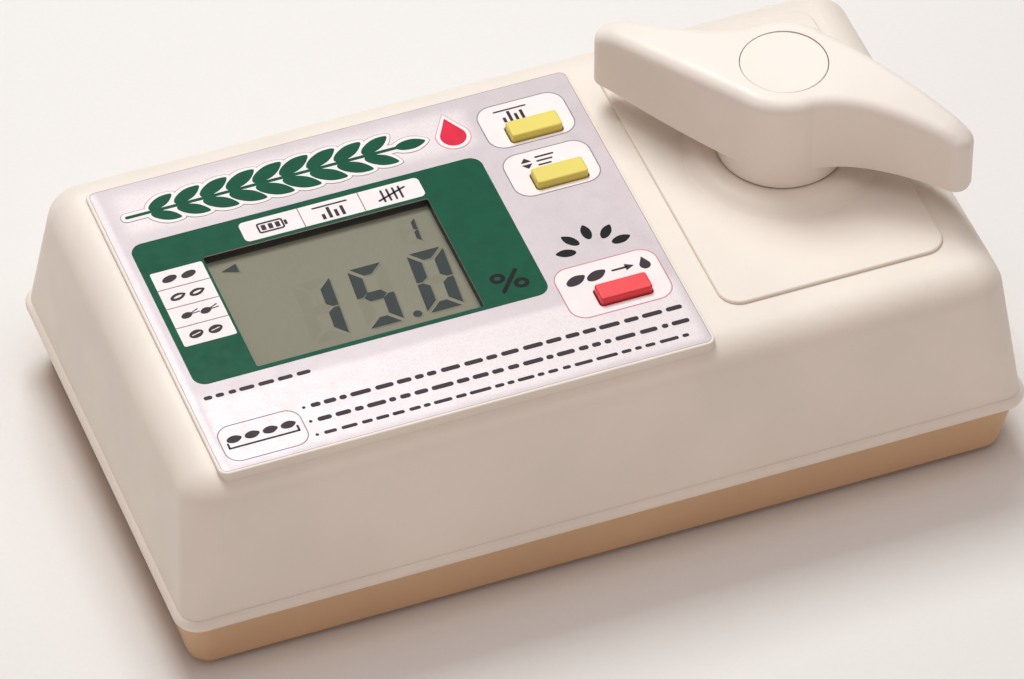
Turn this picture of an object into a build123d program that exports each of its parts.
from build123d import *
import os
from math import pi, radians, tan

# Grain moisture meter.  A two-winged handle turns a screw that presses the upper electrode onto a dish
# of kernels, and the readout shows their moisture.
# Origin: centre of the footprint, on the surface that the feet stand on.
# +X runs along the case from the readout to the press, +Y towards its back, +Z up.

# ---------------------------------------------------------------- driving dimensions, mm
length = 200.0
width = 112.0
wall = 2.5

foot_height = 1.5
case_bottom = foot_height
rim_low = case_bottom + 13.9
rim_high = case_bottom + 17.1
case_top = case_bottom + 52.8
pad_height = 0.8
pad_top = case_top + pad_height
ceiling = case_top - wall
handle_top = case_bottom + 80.7

base_inset_low = 4.0        # how far each outline stands in from the rim
base_inset_high = 1.5
side_inset_low = 1.2
side_inset_high = 5.0
rim_corner = 5.7
top_corner = 9.2
top_fillet = 8.2

spindle_x = 62.0
spindle_y = 2.0
handle_angle = -45.0        # direction of the right wing when the press is tight
upright = Plane(origin=(spindle_x, spindle_y, 0))
gap = 0.15                  # clearance between plastic parts that slide face to face
door_gap = 0.25             # clearance round the edges of the battery door

key_x = 13.1
key_y = {"average": 27.6, "select": 11.7, "measure": -27.0}
key_length = 12.1
key_width = 5.0
key_proud = 2.0
key_travel = 0.8

label_x = (-86.7, 25.9)
label_y = (-47.7, 42.6)
label_thickness = 0.3
pad_margin = 0.8
window_x = (-69.4, -16.8)
window_y = (-20.5, 15.3)

cell_diameter = 14.5        # AA
cell_length = 50.5

os.makedirs("parts", exist_ok=True)

BOTTOM = (Align.CENTER, Align.CENTER, Align.MIN)


# ---------------------------------------------------------------- helpers
def block(x, y, z, mode=Mode.ADD):
    """Add or cut a box given by its spans along X, Y and Z."""
    with Locations(((x[0] + x[1]) / 2, (y[0] + y[1]) / 2, (z[0] + z[1]) / 2)):
        Box(x[1] - x[0], y[1] - y[0], z[1] - z[0], mode=mode)


def rod(places, radius, z, mode=Mode.ADD):
    """Add or cut upright cylinders at the given (x, y) places, between two heights."""
    with Locations(*[(x, y, z[0]) for x, y in places]):
        Cylinder(radius, z[1] - z[0], align=BOTTOM, mode=mode)


def middle(span):
    return (span[0] + span[1]) / 2


def extent(span):
    return span[1] - span[0]


def grown(span, margin):
    return (span[0] - margin, span[1] + margin)


def corners(x, y):
    return [(-x, -y), (x, -y), (x, y), (-x, y)]


def tapered_block(inset_low, corner_low, z_low, inset_high, corner_high, z_high):
    """A solid between two rounded outlines that stand in from the rim."""
    with BuildPart() as solid:
        with BuildSketch(Plane.XY.offset(z_low)):
            RectangleRounded(length - 2 * inset_low, width - 2 * inset_low, corner_low)
        with BuildSketch(Plane.XY.offset(z_high)):
            RectangleRounded(length - 2 * inset_high, width - 2 * inset_high, corner_high)
        loft()
    return solid


def bend_radii(route):
    """The largest radius that the two runs at each corner leave room for."""
    radii = []
    for before, corner, after in zip(route, route[1:], route[2:]):
        run_in = Vector(*corner) - Vector(*before)
        run_out = Vector(*after) - Vector(*corner)
        half_turn = radians(run_in.get_angle(run_out) / 2)
        radii.append(0.45 * min(run_in.length, run_out.length) / tan(half_turn))
    return radii


def make_lead(route, diameter):
    """A wire along straight runs and tangent arcs."""
    radii = bend_radii(route)
    with BuildPart() as lead:
        with BuildLine() as path:
            FilletPolyline(*route, radius=radii)
        with BuildSketch(path.line ^ 0):
            Circle(diameter / 2)
        sweep()
    run = path.wires()[0].length
    fill = lead.part.volume / (pi * diameter ** 2 / 4 * run)
    print("lead", round(run, 1), "mm, radii", [round(r, 1) for r in radii])
    print("volume over section times length", round(fill, 4))
    return lead


# ---------------------------------------------------------------- case: base tray
floor_thickness = 2.5
tray_floor = case_bottom + floor_thickness
screw_places = corners(90.5, 33)
foot_places = corners(86.5, 43.5)
foot_radius = 5.0
foot_recess = 0.8
frame_low = case_bottom + 4.0
frame_screw_places = [(44.5, -29.7), (79.5, -29.7), (44.5, 33.7), (79.5, 33.7)]

# battery bay, open underneath; its door slides out at the back
bay_x = (-80.0, -20.0)
bay_y = (-31.0, 28.0)
bay_wall = 2.0
bay_roof = case_bottom + 17.8
tag_places = [-72.5, -27.5]   # solder tags of the first and the last cell
tag_width = 2.4
tag_middle = bay_y[1] - 0.35
door_thickness = 2.2
door_groove = 1.5
door_groove_low = case_bottom + 1.0
channel_top = case_bottom + door_thickness + 0.2
shelf_top = channel_top + 1.6
back_edge = width / 2

screw_shoulder = case_bottom + 7.0
seam_tongue = 1.6

tray_outside = tapered_block(base_inset_low, 5.0, case_bottom, base_inset_high, rim_corner, rim_low)
tray_inside = tapered_block(base_inset_low + wall, 3.0, tray_floor, base_inset_high + wall, 3.2, rim_low)

with BuildPart() as base_tray:
    add(tray_outside.part)
    fillet(base_tray.faces().sort_by(Axis.Z)[0].edges(), 0.9)
    add(tray_inside.part, mode=Mode.SUBTRACT)
    # tongue that locates the cover
    with BuildSketch(Plane.XY.offset(rim_low - 2)):
        RectangleRounded(length - 8.2, width - 8.2, 3.0)
        RectangleRounded(length - 10.6, width - 10.6, 2.0, mode=Mode.SUBTRACT)
    extrude(amount=2 + seam_tongue)
    # battery bay and the shelf over the door's channel
    block(grown(bay_x, bay_wall), grown(bay_y, bay_wall), (tray_floor, bay_roof + bay_wall / 2))
    block(grown(bay_x, bay_wall), (bay_y[1], back_edge - base_inset_low), (tray_floor, shelf_top))
    block(bay_x, bay_y, (case_bottom, bay_roof), mode=Mode.SUBTRACT)
    block(bay_x, (bay_y[0], back_edge), (case_bottom, channel_top), mode=Mode.SUBTRACT)
    block(grown(bay_x, door_groove), (bay_y[0], back_edge), (door_groove_low, channel_top),
          mode=Mode.SUBTRACT)
    for x in tag_places:
        block((x - tag_width / 2 - 0.2, x + tag_width / 2 + 0.2), (bay_y[1] - 0.8, bay_y[1] + 0.1),
              (bay_roof, bay_roof + bay_wall), mode=Mode.SUBTRACT)
    # screw pillars, frame pads and foot recesses
    rod(screw_places, 4.4, (tray_floor, rim_low - 1.0))
    rod(screw_places, 3.2, (case_bottom, screw_shoulder), mode=Mode.SUBTRACT)
    rod(screw_places, 1.7, (case_bottom, rim_low), mode=Mode.SUBTRACT)
    rod(frame_screw_places, 5.0, (tray_floor, frame_low))
    rod(frame_screw_places, 4.0, (case_bottom, case_bottom + 2.6), mode=Mode.SUBTRACT)
    rod(frame_screw_places, 2.2, (case_bottom, frame_low), mode=Mode.SUBTRACT)
    rod(foot_places, foot_radius + 0.1, (case_bottom, case_bottom + foot_recess), mode=Mode.SUBTRACT)
base_tray.part.label = "base_tray"
export_step(base_tray.part, "parts/base_tray.step")

with BuildPart() as battery_door:
    door_y = (bay_y[0] + door_gap, back_edge)
    door_top = case_bottom + door_thickness
    block(grown(bay_x, -door_gap), door_y, (case_bottom, door_top))
    block(grown(bay_x, door_groove - door_gap), door_y, (door_groove_low + gap, door_top))
    # ridges for the thumb
    with Locations((middle(bay_x), bay_y[0] + 12, case_bottom)):
        with GridLocations(1, 2.2, 1, 6):
            Box(24, 1.1, 1.0, mode=Mode.SUBTRACT)
    add(tray_outside.part, mode=Mode.INTERSECT)
battery_door.part.label = "battery_door"
export_step(battery_door.part, "parts/battery_door.step")

with BuildPart() as rubber_feet:
    rod(foot_places, foot_radius, (0, foot_height + foot_recess))
    fillet(rubber_feet.faces().group_by(Axis.Z)[0].edges(), 0.6)
rubber_feet.part.label = "rubber_feet"
export_step(rubber_feet.part, "parts/rubber_feet.step")

with BuildPart() as case_screws:
    rod(screw_places, 2.8, (screw_shoulder - 2.4, screw_shoulder))
    rod(screw_places, 1.5, (screw_shoulder, case_bottom + 24))
    with Locations(*[(x, y, screw_shoulder - 2.4) for x, y in screw_places]):
        Box(3.2, 0.7, 1.6, mode=Mode.SUBTRACT)
        Box(0.7, 3.2, 1.6, mode=Mode.SUBTRACT)
case_screws.part.label = "case_screws"
export_step(case_screws.part, "parts/case_screws.step")

with BuildPart() as rating_plate:
    with BuildSketch(Plane.XY.offset(case_bottom - 0.25)):
        with Locations((12, 0)):
            RectangleRounded(44, 26, 1.5)
    extrude(amount=0.25)
rating_plate.part.label = "rating_plate"
export_step(rating_plate.part, "parts/rating_plate.step")

# ---------------------------------------------------------------- case: top cover
boss_hole = 12.6
dome_radius_low = 21.6
dome_radius_high = 18.8
dome_top = pad_top + 2.1
handle_pad_x = (32.3, 85.4)
handle_pad_y = (-39.2, 43.4)
slot_y = (-21.2, 25.2)
slot_z = (case_bottom + 18.4, case_bottom + 30.9)
side_slope = (side_inset_high - side_inset_low) / (case_top - rim_high)
pcb_top = case_bottom + 43.6
pcb_thickness = 1.6
pcb_x = (-84.0, 28.0)
pcb_y = (-42.0, 40.0)
pcb_screw_places = [(-79.5, -37.5), (-79.5, 35.5), (23.5, -37.5), (23.5, 37.0)]
glass_top = case_bottom + 51.2
glass_thickness = 2.8
glass_x = grown(window_x, 2.6)
glass_y = grown(window_y, 3.0)
bezel_thickness = 1.0

cover_outside = tapered_block(side_inset_low, rim_corner - side_inset_low, rim_high,
                              side_inset_high, top_corner, case_top)
cover_inside = tapered_block(side_inset_low + wall, 3.0, rim_low,
                             side_inset_high + wall, top_corner - wall, ceiling)

with BuildPart() as cavity:
    add(cover_inside.part)
    fillet(cavity.faces().sort_by(Axis.Z)[-1].edges(), 5.0)

with BuildPart() as bead:
    with BuildSketch(Plane.XY.offset(rim_low)):
        RectangleRounded(length, width, rim_corner)
    extrude(amount=rim_high - rim_low)
    fillet(bead.faces().filter_by(Axis.Z).edges(), 1.5)

with BuildPart() as display_pad:
    with BuildSketch(Plane.XY.offset(ceiling)):
        with Locations((middle(label_x), middle(label_y))):
            RectangleRounded(extent(label_x) + 2 * pad_margin, extent(label_y) + 2 * pad_margin, 2.2)
    extrude(amount=pad_top - ceiling)
    fillet(display_pad.faces().sort_by(Axis.Z)[-1].edges(), 0.4)

with BuildPart() as handle_pad:
    with BuildSketch(Plane.XY.offset(ceiling)):
        with Locations((middle(handle_pad_x), middle(handle_pad_y))):
            RectangleRounded(extent(handle_pad_x), extent(handle_pad_y), 5.0)
    extrude(amount=pad_top - ceiling)
    fillet(handle_pad.faces().sort_by(Axis.Z)[-1].edges(), 0.6)

with BuildPart() as dome:
    with BuildSketch(Plane(origin=(spindle_x, spindle_y, 0), x_dir=(1, 0, 0), z_dir=(0, -1, 0))):
        with BuildLine():
            Polyline((dome_radius_low + 1, pad_top - 0.1), (dome_radius_low + 1, ceiling), (0, ceiling),
                     (0, dome_top), (dome_radius_high - 1.5, dome_top))
            Spline((dome_radius_high - 1.5, dome_top),
                   ((dome_radius_low + dome_radius_high) / 2, (dome_top + pad_top) / 2),
                   (dome_radius_low + 1, pad_top - 0.1), tangents=((1, 0), (1, -0.12)))
        make_face()
    revolve(axis=Axis((spindle_x, spindle_y, 0), (0, 0, 1)))

with BuildPart() as top_cover:
    add(cover_outside.part)
    fillet(top_cover.faces().sort_by(Axis.Z)[-1].edges(), top_fillet)
    add(bead.part)
    add(display_pad.part)
    add(handle_pad.part)
    add(dome.part)
    add(cavity.part, mode=Mode.SUBTRACT)
    # pillars for the case screws and the circuit board
    rod(screw_places, 4.0, (rim_low + 0.2, case_bottom + 46))
    rod(screw_places, 1.55, (rim_low, case_bottom + 26), mode=Mode.SUBTRACT)
    rod(pcb_screw_places, 2.8, (pcb_top, ceiling + 0.5))
    rod(pcb_screw_places, 1.3, (pcb_top, ceiling - 1), mode=Mode.SUBTRACT)
    # label recess, readout opening, glass pocket and key slots
    with BuildSketch(Plane.XY.offset(pad_top - label_thickness)):
        with Locations((middle(label_x), middle(label_y))):
            RectangleRounded(extent(label_x) + 0.2, extent(label_y) + 0.2, 1.6)
    extrude(amount=label_thickness, mode=Mode.SUBTRACT)
    block(grown(window_x, bezel_thickness), grown(window_y, bezel_thickness), (ceiling, pad_top),
          mode=Mode.SUBTRACT)
    block(grown(glass_x, 0.3), grown(glass_y, 0.3), (ceiling, glass_top), mode=Mode.SUBTRACT)
    with BuildSketch(Plane.XY.offset(ceiling)):
        with Locations(*[(key_x, y) for y in key_y.values()]):
            RectangleRounded(key_length + 0.6, key_width + 0.6, 1.0)
    extrude(amount=pad_top - ceiling, mode=Mode.SUBTRACT)
    # hole for the press and the slot for the dish
    rod([(spindle_x, spindle_y)], boss_hole, (ceiling - 1, dome_top), mode=Mode.SUBTRACT)
    block((88, 102), slot_y, slot_z, mode=Mode.SUBTRACT)
top_cover.part.label = "top_cover"
export_step(top_cover.part, "parts/top_cover.step")

# ---------------------------------------------------------------- readout and label
with BuildPart() as label_sheet:
    with BuildSketch(Plane.XY.offset(pad_top - label_thickness)):
        with Locations((middle(label_x), middle(label_y))):
            RectangleRounded(extent(label_x), extent(label_y), 1.5)
        with Locations((middle(window_x), middle(window_y))):
            RectangleRounded(extent(window_x), extent(window_y), 0.5, mode=Mode.SUBTRACT)
        with Locations(*[(key_x, y) for y in key_y.values()]):
            RectangleRounded(key_length + 0.6, key_width + 0.6, 1.0, mode=Mode.SUBTRACT)
    extrude(amount=label_thickness)
label_sheet.part.label = "label_sheet"
export_step(label_sheet.part, "parts/label_sheet.step")

with BuildPart() as lcd_bezel:
    block(grown(window_x, bezel_thickness - 0.1), grown(window_y, bezel_thickness - 0.1),
          (glass_top, pad_top - label_thickness))
    block(window_x, window_y, (glass_top, pad_top), mode=Mode.SUBTRACT)
lcd_bezel.part.label = "lcd_bezel"
export_step(lcd_bezel.part, "parts/lcd_bezel.step")

with BuildPart() as lcd_window:
    block(grown(window_x, -0.1), grown(window_y, -0.1), (glass_top + 0.1, glass_top + 0.9))
lcd_window.part.label = "lcd_window"
export_step(lcd_window.part, "parts/lcd_window.step")

with BuildPart() as lcd_glass:
    block(glass_x, glass_y, (glass_top - glass_thickness, glass_top))
    # the upper glass is shorter than the lower one along the contact ledge
    block(glass_x, (glass_y[0], glass_y[0] + 1.6), (glass_top - glass_thickness / 2, glass_top),
          mode=Mode.SUBTRACT)
lcd_glass.part.label = "lcd_glass"
export_step(lcd_glass.part, "parts/lcd_glass.step")

with BuildPart() as lcd_holder:
    block(grown(glass_x, 2.4), grown(glass_y, 2.4), (pcb_top, ceiling - 0.1))
    block(grown(glass_x, 0.4), grown(glass_y, 0.4), (pcb_top, ceiling), mode=Mode.SUBTRACT)
lcd_holder.part.label = "lcd_holder"
export_step(lcd_holder.part, "parts/lcd_holder.step")

with BuildPart() as elastomer_strips:
    strip_z = (pcb_top, glass_top - glass_thickness)
    block(grown(glass_x, -1), (glass_y[0] + 0.4, glass_y[0] + 2.8), strip_z)
    block(grown(glass_x, -1), (glass_y[1] - 2.8, glass_y[1] - 0.4), strip_z)
elastomer_strips.part.label = "elastomer_strips"
export_step(elastomer_strips.part, "parts/elastomer_strips.step")

# ---------------------------------------------------------------- circuit board
pcb_bottom = pcb_top - pcb_thickness

with BuildPart() as main_pcb:
    block(pcb_x, pcb_y, (pcb_bottom, pcb_top))
    rod(pcb_screw_places, 1.4, (pcb_bottom, pcb_top), mode=Mode.SUBTRACT)
main_pcb.part.label = "main_pcb"
export_step(main_pcb.part, "parts/main_pcb.step")

with BuildPart() as pcb_screws:
    rod(pcb_screw_places, 2.3, (pcb_bottom - 1.6, pcb_bottom))
    rod(pcb_screw_places, 1.25, (pcb_bottom, pcb_top + 5))
pcb_screws.part.label = "pcb_screws"
export_step(pcb_screws.part, "parts/pcb_screws.step")

chip_x = -48.0
chip_size = 14.0
chip_z = (pcb_bottom - 2.2, pcb_bottom - 0.2)
with BuildPart() as microcontroller:
    block((chip_x - chip_size / 2, chip_x + chip_size / 2), (-chip_size / 2, chip_size / 2), chip_z)
    for turn in range(4):
        with Locations(Location((chip_x, 0, pcb_bottom - 0.6), (0, 0, 90 * turn))):
            with GridLocations(1, 1.1, 1, 11):
                with Locations((chip_size / 2 + 0.7, 0, 0)):
                    Box(1.8, 0.45, 1.2)
microcontroller.part.label = "microcontroller"
export_step(microcontroller.part, "parts/microcontroller.step")

with BuildPart() as capacitors:
    rod([(-12, -28), (-1, -28)], 4.0, (pcb_bottom - 9, pcb_bottom))
    fillet(capacitors.faces().group_by(Axis.Z)[0].edges(), 0.6)
capacitors.part.label = "capacitors"
export_step(capacitors.part, "parts/capacitors.step")

socket_height = 6.0
cell_socket_x = (-55.0, -45.0)
cell_socket_y = (31.0, 36.0)
probe_socket_x = (9.0, 27.0)
probe_socket_y = (-14.5, -9.5)
with BuildPart() as lead_connectors:
    block(cell_socket_x, cell_socket_y, (pcb_bottom - socket_height, pcb_bottom))
    block(probe_socket_x, probe_socket_y, (pcb_bottom - socket_height, pcb_bottom))
lead_connectors.part.label = "lead_connectors"
export_step(lead_connectors.part, "parts/lead_connectors.step")

switch_height = 3.4
with BuildPart() as tact_switches:
    key_places = [(key_x, y) for y in key_y.values()]
    with Locations(*[(x, y, pcb_top) for x, y in key_places]):
        Box(6, 6, switch_height, align=BOTTOM)
    rod(key_places, 1.75, (pcb_top + 0.8, pcb_top + switch_height), mode=Mode.SUBTRACT)
tact_switches.part.label = "tact_switches"
export_step(tact_switches.part, "parts/tact_switches.step")

# ---------------------------------------------------------------- keys
cap_low = pcb_top + switch_height + key_travel + 0.5
flange_top = ceiling - 0.2
for key, y in key_y.items():
    with BuildPart() as cap:
        with BuildSketch(Plane.XY.offset(cap_low)):
            with Locations((key_x, y)):
                RectangleRounded(key_length, key_width, 0.7)
        extrude(amount=pad_top + key_proud - cap_low)
        fillet(cap.faces().sort_by(Axis.Z)[-1].edges(), 0.5)
        with BuildSketch(Plane.XY.offset(flange_top - 1.1)):
            with Locations((key_x, y)):
                RectangleRounded(key_length + 2.4, key_width + 2.4, 1.0)
        extrude(amount=1.1)
    cap.part.label = f"{key}_cap"
    export_step(cap.part, f"parts/{key}_cap.step")

    with BuildPart() as plunger:
        rod([(key_x, y)], 1.7, (pcb_top + 0.8 + key_travel + 0.2, cap_low))
    plunger.part.label = f"{key}_plunger"
    export_step(plunger.part, f"parts/{key}_plunger.step")

# ---------------------------------------------------------------- supply
cell_pitch = extent(bay_x) / 4
cell_columns = [bay_x[0] + cell_pitch * (n + 0.5) for n in range(4)]
cell_height = case_bottom + door_thickness + 0.5 + cell_diameter / 2
cell_start = bay_y[0] + 4.6
nub_length = 1.2
with BuildPart() as battery_cells:
    for n, x in enumerate(cell_columns):
        facing = 1 if n % 2 == 0 else -1
        centre = cell_start + (cell_length - nub_length) / 2 + (0 if facing == 1 else nub_length)
        with Locations(Location((x, centre, cell_height), (90, 0, 0))):
            Cylinder(cell_diameter / 2 - 0.1, cell_length - nub_length)
        nub_y = centre + facing * cell_length / 2
        with Locations(Location((x, nub_y, cell_height), (90, 0, 0))):
            Cylinder(2.7, nub_length)
battery_cells.part.label = "battery_cells"
export_step(battery_cells.part, "parts/battery_cells.step")

contact_width = 9.0
cell_end = cell_start + cell_length
contact_z = (case_bottom + 4.5, bay_roof - 0.2)
with BuildPart() as positive_contacts:
    for n, x in enumerate(cell_columns):
        plate_y = (bay_y[1] - 0.6, bay_y[1] - 0.1) if n % 2 == 0 else (bay_y[0] + 0.1, bay_y[0] + 0.6)
        bump_y = (cell_end, plate_y[0]) if n % 2 == 0 else (plate_y[1], cell_start)
        block((x - contact_width / 2, x + contact_width / 2), plate_y, contact_z)
        with Locations(Location((x, middle(bump_y), cell_height), (90, 0, 0))):
            Cylinder(2.0, extent(bump_y))
    # solder tag through the roof of the bay
    tag_y = (bay_y[1] - 0.6, bay_y[1] - 0.1)
    tag_z = (contact_z[1] - 1, bay_roof + 4)
    block((tag_places[0] - tag_width / 2, tag_places[0] + tag_width / 2), tag_y, tag_z)
positive_contacts.part.label = "positive_contacts"
export_step(positive_contacts.part, "parts/positive_contacts.step")

leaf_thickness = 0.4
with BuildPart() as negative_springs:
    for n, x in enumerate(cell_columns):
        inward = 1 if n % 2 == 0 else -1
        wall_y = bay_y[0] + 0.1 if n % 2 == 0 else bay_y[1] - 0.1
        cell_y = cell_start if n % 2 == 0 else cell_end
        plate = sorted((wall_y, wall_y + 0.5 * inward))
        block((x - contact_width / 2, x + contact_width / 2), plate, contact_z)
        reach = abs(cell_y - wall_y) - leaf_thickness / 2
        with BuildSketch(Plane(origin=(x, wall_y, cell_height), x_dir=(0, inward, 0), z_dir=(1, 0, 0))):
            with BuildLine():
                ThreePointArc((0.4, -5), (reach, 0), (0.4, 5))
            trace(line_width=leaf_thickness)
        extrude(amount=3, both=True)
    block((tag_places[1] - tag_width / 2, tag_places[1] + tag_width / 2), tag_y, tag_z)
negative_springs.part.label = "negative_springs"
export_step(negative_springs.part, "parts/negative_springs.step")

# ---------------------------------------------------------------- press frame
axis_place = [(spindle_x, spindle_y)]
frame_x = (40.0, 84.0)
frame_y = (-34.0, 38.0)
column_width = 8.5
sill_top = case_bottom + 13.0
beam_low = case_bottom + 36.5
beam_top = case_bottom + 48.0
neck_radius = 12.0
neck_top = case_bottom + 57.5
nut_radius = 8.0
nut_flange_radius = 12.0
nut_low = beam_low - 1.5
pin_places = [(spindle_x - 12, spindle_y - 11), (spindle_x + 12, spindle_y + 11)]
pin_radius = 2.5
pin_top = case_bottom + 43.0
running_gap = 0.05
sensor_y = -8.0
sensor_z = case_bottom + 8.5
sensor_radius = 2.0

stop_radius = 10.0          # where the stop pin stands, measured from the spindle
stop_pin_radius = 1.5
stop_pin_top = case_bottom + 65.5
stop_pin_low = neck_top - 6
stop_pin_place = [(spindle_x, spindle_y + stop_radius)]

with BuildPart() as press_frame:
    block(frame_x, frame_y, (frame_low, beam_top))
    fillet(press_frame.edges().filter_by(Axis.Z), 3.0)
    block(grown(frame_x, 1), grown(frame_y, -column_width), (sill_top, beam_low), mode=Mode.SUBTRACT)
    inner_edges = press_frame.edges().filter_by(Axis.X).filter_by_position(
        Axis.Y, frame_y[0] + 1, frame_y[1] - 1)
    fillet(inner_edges, 2.0)
    rod(axis_place, neck_radius, (beam_top, neck_top))
    rod(axis_place, nut_radius, (beam_low, neck_top), mode=Mode.SUBTRACT)
    rod(pin_places, pin_radius + running_gap, (beam_low, beam_top), mode=Mode.SUBTRACT)
    rod(stop_pin_place, stop_pin_radius, (stop_pin_low, neck_top), mode=Mode.SUBTRACT)
    rod(frame_screw_places, 2.05, (frame_low, frame_low + 8), mode=Mode.SUBTRACT)
    with Locations(Location((frame_x[0] + 4, sensor_y, sensor_z), (0, 90, 0))):
        Cylinder(sensor_radius + running_gap, 8.0, mode=Mode.SUBTRACT)
press_frame.part.label = "press_frame"
export_step(press_frame.part, "parts/press_frame.step")

with BuildPart() as frame_screws:
    head_top = case_bottom + 2.6
    rod(frame_screw_places, 3.6, (head_top - 2.3, head_top))
    rod(frame_screw_places, 2.0, (head_top, frame_low + 7.5))
    with Locations(*[(x, y, head_top - 2.3) for x, y in frame_screw_places]):
        Box(4.0, 0.9, 1.6, mode=Mode.SUBTRACT)
        Box(0.9, 4.0, 1.6, mode=Mode.SUBTRACT)
frame_screws.part.label = "frame_screws"
export_step(frame_screws.part, "parts/frame_screws.step")

spindle_radius = 5.95
with BuildPart() as spindle_nut:
    rod(axis_place, nut_radius - 0.02, (beam_low, neck_top))
    rod(axis_place, nut_flange_radius, (nut_low, beam_low))
    rod(axis_place, spindle_radius + running_gap, (nut_low, neck_top), mode=Mode.SUBTRACT)
spindle_nut.part.label = "spindle_nut"
export_step(spindle_nut.part, "parts/spindle_nut.step")

with BuildPart() as stop_pin:
    rod(stop_pin_place, stop_pin_radius - 0.01, (stop_pin_low, stop_pin_top))
stop_pin.part.label = "stop_pin"
export_step(stop_pin.part, "parts/stop_pin.step")

# ---------------------------------------------------------------- measuring cell
insulator_top = case_bottom + 17.0
electrode_x = (46.0, 78.0)
electrode_y = (-14.0, 18.0)
electrode_low = case_bottom + 15.0
electrode_top = case_bottom + 19.0
tab_thickness = 1.2
with BuildPart() as lower_insulator:
    block(grown(electrode_x, 2), grown(electrode_y, 2), (sill_top, insulator_top))
    block(electrode_x, electrode_y, (electrode_low, insulator_top), mode=Mode.SUBTRACT)
    block((electrode_x[0] - 3, electrode_x[0] + 1), (-1.2, 5.2), (electrode_low, insulator_top),
          mode=Mode.SUBTRACT)
lower_insulator.part.label = "lower_insulator"
export_step(lower_insulator.part, "parts/lower_insulator.step")

tab_end = 34.5
with BuildPart() as lower_electrode:
    block(grown(electrode_x, -0.1), grown(electrode_y, -0.1), (electrode_low, electrode_top))
    fillet(lower_electrode.faces().sort_by(Axis.Z)[-1].edges(), 0.4)
    block((tab_end, electrode_x[0] + 1), (-1, 5), (electrode_low, electrode_low + tab_thickness))
lower_electrode.part.label = "lower_electrode"
export_step(lower_electrode.part, "parts/lower_electrode.step")

guide_wall = 2.2
guide_x = (37.0, 94.3)
guide_low = insulator_top
guide_floor = case_bottom + 18.6
guide_top = case_bottom + 30.8
dish_low = case_bottom + 19.2
tongue_end = 92.0           # end of the dish's tongue, under its grip
with BuildPart() as dish_guide:
    block(guide_x, grown(slot_y, guide_wall), (guide_low, guide_top))
    block((guide_x[0] + guide_wall, guide_x[1]), slot_y, (guide_floor, guide_top), mode=Mode.SUBTRACT)
    block(grown(electrode_x, 0.6), grown(electrode_y, 0.6), (guide_low, guide_floor), mode=Mode.SUBTRACT)
    for y in (slot_y[0] + 3, slot_y[1] - 3):
        block((guide_x[0] + 4, tongue_end - 1), (y - 0.8, y + 0.8), (guide_floor, dish_low - 0.1))
dish_guide.part.label = "dish_guide"
export_step(dish_guide.part, "parts/dish_guide.step")

with BuildPart() as temperature_sensor:
    with Locations(Location((frame_x[0] + 3, sensor_y, sensor_z), (0, 90, 0))):
        Cylinder(sensor_radius, 9.0)
temperature_sensor.part.label = "temperature_sensor"
export_step(temperature_sensor.part, "parts/temperature_sensor.step")

# ---------------------------------------------------------------- moving plate of the press
plate_low = case_bottom + 22.0
plate_top = case_bottom + 28.0
plate_x = (44.0, 80.0)
plate_y = (-15.0, 19.0)
journal_radius = 3.95
journal_low = case_bottom + 25.35
journal_socket_low = case_bottom + 24.3
retainer_top = plate_top + 1.5
retainer_screw_places = [(spindle_x, spindle_y - 10), (spindle_x, spindle_y + 10)]
neck_of_spindle = 2.9
with BuildPart() as press_plate:
    block(plate_x, plate_y, (plate_low, plate_top))
    fillet(press_plate.edges().filter_by(Axis.Z), 2.0)
    rod(axis_place, journal_radius + 0.1, (journal_socket_low, plate_top), mode=Mode.SUBTRACT)
    rod(pin_places, pin_radius, (plate_low + 1, plate_top), mode=Mode.SUBTRACT)
    rod(retainer_screw_places, 1.25, (plate_top - 4, plate_top), mode=Mode.SUBTRACT)
    # grooves that hold and crush the kernels
    with Locations((middle(plate_x), middle(plate_y), plate_low)):
        with GridLocations(3, 1, 11, 1):
            Box(0.8, extent(plate_y), 0.8, mode=Mode.SUBTRACT)
press_plate.part.label = "press_plate"
export_step(press_plate.part, "parts/press_plate.step")

with BuildPart() as guide_pins:
    rod(pin_places, pin_radius - 0.01, (plate_low + 1, pin_top))
    chamfer(guide_pins.faces().group_by(Axis.Z)[-1].edges(), 0.5)
guide_pins.part.label = "guide_pins"
export_step(guide_pins.part, "parts/guide_pins.step")

with BuildPart() as thrust_pad:
    rod(axis_place, journal_radius + 0.08, (journal_socket_low, journal_low - 0.03))
thrust_pad.part.label = "thrust_pad"
export_step(thrust_pad.part, "parts/thrust_pad.step")

with BuildPart() as press_retainer:
    block((spindle_x - 8, spindle_x + 8), (spindle_y - 13, spindle_y + 13), (plate_top, retainer_top))
    block((spindle_x - 9, spindle_x), grown((spindle_y, spindle_y), neck_of_spindle + 0.1),
          (plate_top, retainer_top), mode=Mode.SUBTRACT)
    rod(axis_place, neck_of_spindle + 0.1, (plate_top, retainer_top), mode=Mode.SUBTRACT)
    rod(retainer_screw_places, 2.4, (plate_top + 0.3, retainer_top), mode=Mode.SUBTRACT)
    rod(retainer_screw_places, 1.3, (plate_top, retainer_top), mode=Mode.SUBTRACT)
press_retainer.part.label = "press_retainer"
export_step(press_retainer.part, "parts/press_retainer.step")

with BuildPart() as retainer_screws:
    rod(retainer_screw_places, 2.3, (plate_top + 0.3, retainer_top))
    rod(retainer_screw_places, 1.24, (plate_top - 3.8, plate_top + 0.3))
retainer_screws.part.label = "retainer_screws"
export_step(retainer_screws.part, "parts/retainer_screws.step")

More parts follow.
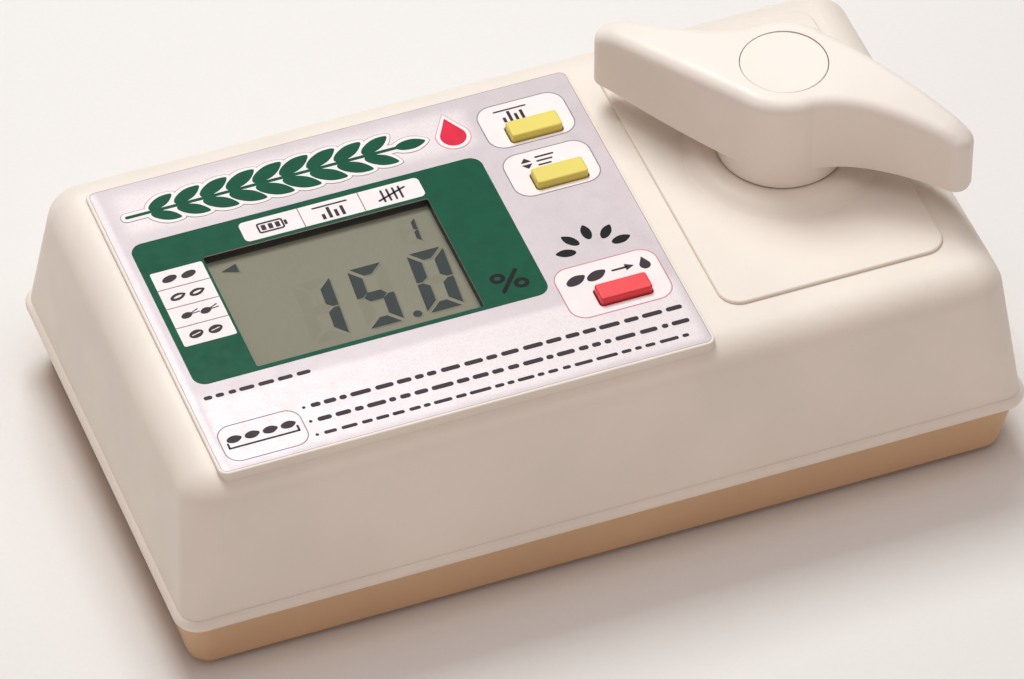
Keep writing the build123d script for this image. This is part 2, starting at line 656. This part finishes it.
# ---------------------------------------------------------------- spindle, stop collar and handle
seat_low = case_bottom + 66.0
seat_top = case_bottom + 74.0
seat_radius = 5.0
seat_flats = 8.4
tap_radius = 2.5
collar_thickness = 2.5
collar_radius = 12.0
lug_low = neck_top + 0.8
lug_radius = 8.4
lug_centre = 120.0          # direction of the lug when the press is tight
lug_half_angle = 20.2

with BuildPart() as spindle:
    rod(axis_place, journal_radius, (journal_low, case_bottom + 27.9))
    rod(axis_place, neck_of_spindle, (case_bottom + 27.9, retainer_top + 0.2))
    rod(axis_place, spindle_radius, (retainer_top + 0.2, seat_low))
    with BuildSketch(upright.offset(seat_low)):
        Circle(seat_radius)
        Rectangle(3 * seat_radius, seat_flats, mode=Mode.INTERSECT)
    extrude(amount=seat_top - seat_low)
    rod(axis_place, tap_radius + 0.05, (seat_top - 14, seat_top), mode=Mode.SUBTRACT)
spindle.part.label = "spindle"
export_step(spindle.part, "parts/spindle.step")

with BuildPart() as stop_collar:
    with BuildSketch(upright.offset(seat_low)):
        Circle(collar_radius)
    extrude(amount=collar_thickness)
    with BuildSketch(upright.offset(lug_low)):
        with BuildLine():
            lug_start = lug_centre - lug_half_angle
            outer = CenterArc((0, 0), collar_radius, lug_start, 2 * lug_half_angle)
            inner = CenterArc((0, 0), lug_radius, lug_start, 2 * lug_half_angle)
            Line(outer @ 0, inner @ 0)
            Line(outer @ 1, inner @ 1)
        make_face()
    extrude(amount=seat_low - lug_low)
    with BuildSketch(upright.offset(seat_low)):
        Circle(seat_radius + 0.05)
        Rectangle(3 * seat_radius, seat_flats + 0.1, mode=Mode.INTERSECT)
    extrude(amount=collar_thickness, mode=Mode.SUBTRACT)
stop_collar.part.label = "stop_collar"
export_step(stop_collar.part, "parts/stop_collar.step")

wing_length = 44.7
wing_low = case_bottom + 60.5
skirt_low = case_bottom + 56.1
skirt_radius = 14.6
skirt_wall = 2.0
crown_drop = 0.0025         # height lost per square millimetre away from the spindle
cap_radius = 9.8
handle_cap_low = case_bottom + 78.4
screw_well_radius = 8.0
along_wings = Vector(1, 0, 0).rotate(Axis.Z, handle_angle)
across_wings = Vector(0, -1, 0).rotate(Axis.Z, handle_angle)
handle_plane = Plane(origin=(spindle_x, spindle_y, 0), x_dir=along_wings)
crown_plane = Plane(origin=(spindle_x, spindle_y, 0), x_dir=along_wings, z_dir=across_wings)


def crown_height(distance):
    return handle_top - crown_drop * distance ** 2


def on_seam(edge):
    distance = handle_plane.to_local_coords(edge.center()).X
    return abs(abs(distance) - crown_end) < 0.01


tip_half_width = 3.6
crown_end = 38.5            # where the crown rounds down towards the tips
tip_drop = 5.5
with BuildSketch() as wing:
    with BuildLine():
        back = ThreePointArc((2.5, 14.3), (21, 10.2), (39.5, 4.8))
        tip = Polyline(back @ 1, (wing_length, tip_half_width), (wing_length, -tip_half_width),
                       (38, 0.6 - tip_half_width))
        front = Spline(tip @ 1, (27, -3.4), (16, -6.3), (10.25, -10.25), tangents=((-1, 0), (-1, -1)))
        Polyline(front @ 1, (0, 0), (2.5, 14.3))
    make_face()
    fillet(wing.vertices().filter_by_position(Axis.X, wing_length - 0.1, wing_length + 0.1), 3.3)

pocket_depth = 10.0
with BuildSketch() as pocket:
    with BuildLine():
        Polyline((17.5, 7.8), (39.5, 1.4), (39.5, -0.5), (26, -0.7), (17.5, -2.8), close=True)
    make_face()
    fillet(pocket.vertices(), 0.7)

with BuildPart() as handle:
    with BuildSketch(handle_plane.offset(wing_low)):
        Circle(skirt_radius)
        with PolarLocations(0, 2):
            add(wing.sketch)
    extrude(amount=handle_top + 1 - wing_low)
    with BuildSketch(crown_plane):
        with BuildLine():
            crown = ThreePointArc((-crown_end, crown_height(crown_end)), (0, handle_top),
                                  (crown_end, crown_height(crown_end)))
            tip_height = crown_height(crown_end) - tip_drop
            right_end = TangentArc(crown @ 1, (wing_length + 1, tip_height), tangent=crown % 1)
            left_end = TangentArc(crown @ 0, (-wing_length - 1, tip_height), tangent=crown % 0 * -1)
            Polyline(left_end @ 1, (-wing_length - 1, 50), (wing_length + 1, 50), right_end @ 1)
        make_face()
    extrude(amount=50, both=True, mode=Mode.INTERSECT)
    crown_faces = handle.faces().filter_by(lambda face: face.normal_at().Z > 0.3)
    fillet(crown_faces.edges().filter_by(lambda edge: not on_seam(edge)), 3.0)
    # hollow undersides of the wings
    with BuildSketch(handle_plane.offset(wing_low)):
        with PolarLocations(0, 2):
            add(pocket.sketch)
    extrude(amount=pocket_depth, mode=Mode.SUBTRACT)
    rod(axis_place, skirt_radius, (skirt_low, wing_low + 4))
    rod(axis_place, skirt_radius - skirt_wall, (skirt_low, seat_low + collar_thickness),
        mode=Mode.SUBTRACT)
    # seat on the spindle, well for the screw and recess for the cap
    with BuildSketch(upright.offset(seat_low)):
        Circle(seat_radius + 0.05)
        Rectangle(3 * seat_radius, seat_flats + 0.1, mode=Mode.INTERSECT)
    extrude(amount=seat_top - seat_low, mode=Mode.SUBTRACT)
    rod(axis_place, screw_well_radius, (seat_top, handle_top), mode=Mode.SUBTRACT)
    rod(axis_place, cap_radius + 0.15, (handle_cap_low, handle_top), mode=Mode.SUBTRACT)
handle.part.label = "handle"
export_step(handle.part, "parts/handle.step")

with BuildPart() as handle_cap:
    rod(axis_place, cap_radius, (handle_cap_low, handle_top - 0.15))
    fillet(handle_cap.faces().sort_by(Axis.Z)[-1].edges(), 0.3)
    rod(axis_place, screw_well_radius - 0.1, (handle_cap_low - 0.6, handle_cap_low))
handle_cap.part.label = "handle_cap"
export_step(handle_cap.part, "parts/handle_cap.step")

washer_thickness = 0.8
with BuildPart() as handle_washer:
    rod(axis_place, 6.5, (seat_top, seat_top + washer_thickness))
    rod(axis_place, tap_radius + 0.2, (seat_top, seat_top + washer_thickness), mode=Mode.SUBTRACT)
handle_washer.part.label = "handle_washer"
export_step(handle_washer.part, "parts/handle_washer.step")

screw_head_low = seat_top + washer_thickness
with BuildPart() as handle_screw:
    rod(axis_place, 4.5, (screw_head_low, screw_head_low + 2.8))
    fillet(handle_screw.faces().sort_by(Axis.Z)[-1].edges(), 0.6)
    rod(axis_place, tap_radius, (seat_top - 12, screw_head_low))
    with Locations((spindle_x, spindle_y, screw_head_low + 2.8)):
        Box(5, 0.9, 3.2, mode=Mode.SUBTRACT)
        Box(0.9, 5, 3.2, mode=Mode.SUBTRACT)
handle_screw.part.label = "handle_screw"
export_step(handle_screw.part, "parts/handle_screw.step")

# ---------------------------------------------------------------- sample dish
dish_x = (40.0, 83.0)
dish_y = (slot_y[0] + 0.5, slot_y[1] - 0.5)
dish_thickness = 1.0
dish_rim = 2.4
grip_low = case_bottom + 18.8
grip_top = case_bottom + 30.5
grip_recess = 0.4           # how far the grip's face stands behind the side of the case
grip_back = dish_x[1] + 0.3
rivet_places = [(88.0, spindle_y - 15), (88.0, spindle_y + 15)]
rivet_radius = 1.5
scoop_x = 94.0              # back of the shallow finger pull in the grip's face
scoop_y = (spindle_y - 11.5, spindle_y + 11.5)
scoop_z = (case_bottom + 21.6, case_bottom + 27.4)


def side_face_x(height):
    """Where the right side of the case stands at a height."""
    return length / 2 - side_inset_low - side_slope * (height - rim_high)


with BuildPart() as sample_dish:
    block(dish_x, dish_y, (dish_low, dish_low + dish_rim))
    fillet(sample_dish.edges().filter_by(Axis.Z), 3.0)
    block(grown(dish_x, -dish_thickness), grown(dish_y, -dish_thickness),
          (dish_low + dish_thickness, dish_low + dish_rim), mode=Mode.SUBTRACT)
    block((dish_x[1] - 6, tongue_end), grown(dish_y, -2), (dish_low, dish_low + dish_thickness))
    rod(rivet_places, rivet_radius + 0.02, (dish_low, dish_low + dish_thickness), mode=Mode.SUBTRACT)
sample_dish.part.label = "sample_dish"
export_step(sample_dish.part, "parts/sample_dish.step")

with BuildPart() as dish_grip:
    with BuildSketch(Plane(origin=(0, middle(dish_y), 0), x_dir=(1, 0, 0), z_dir=(0, -1, 0))):
        with BuildLine():
            face_low = side_face_x(grip_low) - grip_recess
            face_top = side_face_x(grip_top) - grip_recess
            Polyline((grip_back, grip_low), (face_low, grip_low), (face_top, grip_top),
                     (grip_back, grip_top), close=True)
        make_face()
    extrude(amount=extent(dish_y) / 2, both=True)
    fillet(dish_grip.edges().group_by(Axis.X)[-1], 0.5)
    block((dish_x[1], tongue_end + 0.2), dish_y, (grip_low, dish_low + dish_thickness),
          mode=Mode.SUBTRACT)
    # finger pull under a lip
    block((scoop_x, length / 2), scoop_y, scoop_z, mode=Mode.SUBTRACT)
    rod(rivet_places, rivet_radius + 0.02, (dish_low, dish_low + 5.2), mode=Mode.SUBTRACT)
dish_grip.part.label = "dish_grip"
export_step(dish_grip.part, "parts/dish_grip.step")

with BuildPart() as dish_rivets:
    rod(rivet_places, rivet_radius, (dish_low, dish_low + 5))
dish_rivets.part.label = "dish_rivets"
export_step(dish_rivets.part, "parts/dish_rivets.step")

# ---------------------------------------------------------------- leads inside the case
lead_diameter = 1.2
tag_top = bay_roof + 4
socket_low = pcb_bottom - socket_height
tab_middle = electrode_low + tab_thickness / 2
earth_height = case_bottom + 25
red_tag, black_tag = tag_places
lead_routes = {
    "battery_lead_red": [(red_tag, tag_middle, tag_top), (red_tag, tag_middle, tag_top + 3.5),
                         (-70, 28.4, tag_top + 6.6), (-62.9, 30.5, tag_top + 6.2),
                         (-55.5, 32.8, tag_top + 7.5), (-53, 33.5, socket_low - 3.5),
                         (-53, 33.5, socket_low)],
    "battery_lead_black": [(black_tag, tag_middle, tag_top), (black_tag, tag_middle, tag_top + 3.5),
                           (-30, 28.4, tag_top + 6.6), (-37.1, 30.5, tag_top + 6.2),
                           (-44.5, 32.8, tag_top + 7.5), (-47, 33.5, socket_low - 3.5),
                           (-47, 33.5, socket_low)],
    "electrode_lead": [(tab_end, 2, tab_middle), (28, 2, tab_middle), (21.5, -1.5, tab_middle + 4),
                       (18, -8, tab_middle + 12), (18, -12, socket_low - 6), (18, -12, socket_low)],
    "earth_lead": [(frame_x[0], -29.7, earth_height), (34, -29.7, earth_height),
                   (28, -24, earth_height + 1.5), (24, -15.5, earth_height + 3.5),
                   (24, -12, socket_low - 4), (24, -12, socket_low)],
    "sensor_lead": [(frame_x[0] - 1.5, sensor_y, sensor_z), (33, sensor_y, sensor_z),
                    (25, -10, sensor_z + 3.5), (16, -13, sensor_z + 11),
                    (12, -12, sensor_z + 19), (12, -12, socket_low)],
}
for name, route in lead_routes.items():
    lead = make_lead(route, lead_diameter)
    lead.part.label = name
    export_step(lead.part, f"parts/{name}.step")
